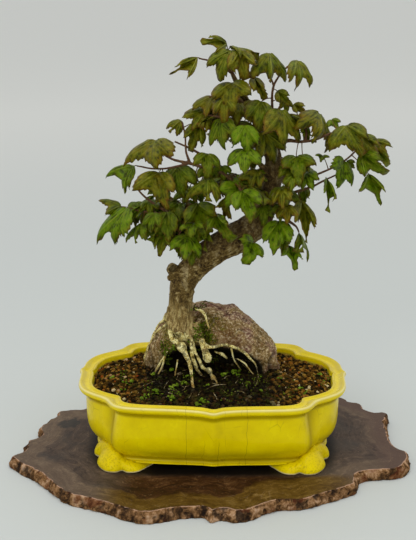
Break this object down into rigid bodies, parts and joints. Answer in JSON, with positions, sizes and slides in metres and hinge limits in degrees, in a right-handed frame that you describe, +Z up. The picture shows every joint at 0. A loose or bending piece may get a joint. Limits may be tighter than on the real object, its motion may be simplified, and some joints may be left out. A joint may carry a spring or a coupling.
{
  "type": "potted bonsai tree on a stand",
  "caption": "Small trident maple with a leaning trunk and roots over a stone, in a lobed glazed pot with bracket feet on a live-edge wood slab.",
  "frame": {"origin": "on the slab's flat underside, below the middle of the pot", "axes": "+X towards the viewer's right, +Y away from the front, +Z up"},
  "size_m": [0.444, 0.32, 0.4626],
  "materials": {
    "slab_wood": "oiled top with rough bark edge",
    "glaze": "glossy, finely crazed",
    "screen_plastic": "matt",
    "soil": "loose fired-clay granules",
    "stone": "rough, weathered",
    "bark": "rough bark",
    "leaf": "thin green leaf",
    "moss": "soft moss and sprouts"
  },
  "bodies": {
    "root": {"wood_slab": "slab_wood", "pot": "glaze", "drain_screen_left": "screen_plastic", "drain_screen_right": "screen_plastic", "soil": "soil", "stone": "stone", "tree": "bark", "leaf_01": "leaf", "leaf_02": "leaf", "leaf_03": "leaf", "leaf_04": "leaf", "leaf_05": "leaf", "leaf_06": "leaf", "leaf_07": "leaf", "leaf_08": "leaf", "leaf_09": "leaf", "leaf_10": "leaf", "leaf_11": "leaf", "leaf_12": "leaf", "leaf_13": "leaf", "leaf_14": "leaf", "leaf_15": "leaf", "leaf_16": "leaf", "leaf_17": "leaf", "leaf_18": "leaf", "leaf_19": "leaf", "leaf_20": "leaf", "leaf_21": "leaf", "leaf_22": "leaf", "leaf_23": "leaf", "leaf_24": "leaf", "leaf_25": "leaf", "leaf_26": "leaf", "leaf_27": "leaf", "leaf_28": "leaf", "leaf_29": "leaf", "leaf_30": "leaf", "leaf_31": "leaf", "leaf_32": "leaf", "leaf_33": "leaf", "leaf_34": "leaf", "leaf_35": "leaf", "leaf_36": "leaf", "leaf_37": "leaf", "leaf_38": "leaf", "leaf_39": "leaf", "leaf_40": "leaf", "leaf_41": "leaf", "leaf_42": "leaf", "leaf_43": "leaf", "leaf_44": "leaf", "leaf_45": "leaf", "leaf_46": "leaf", "leaf_47": "leaf", "leaf_48": "leaf", "leaf_49": "leaf", "leaf_50": "leaf"}
  },
  "joints": []
}
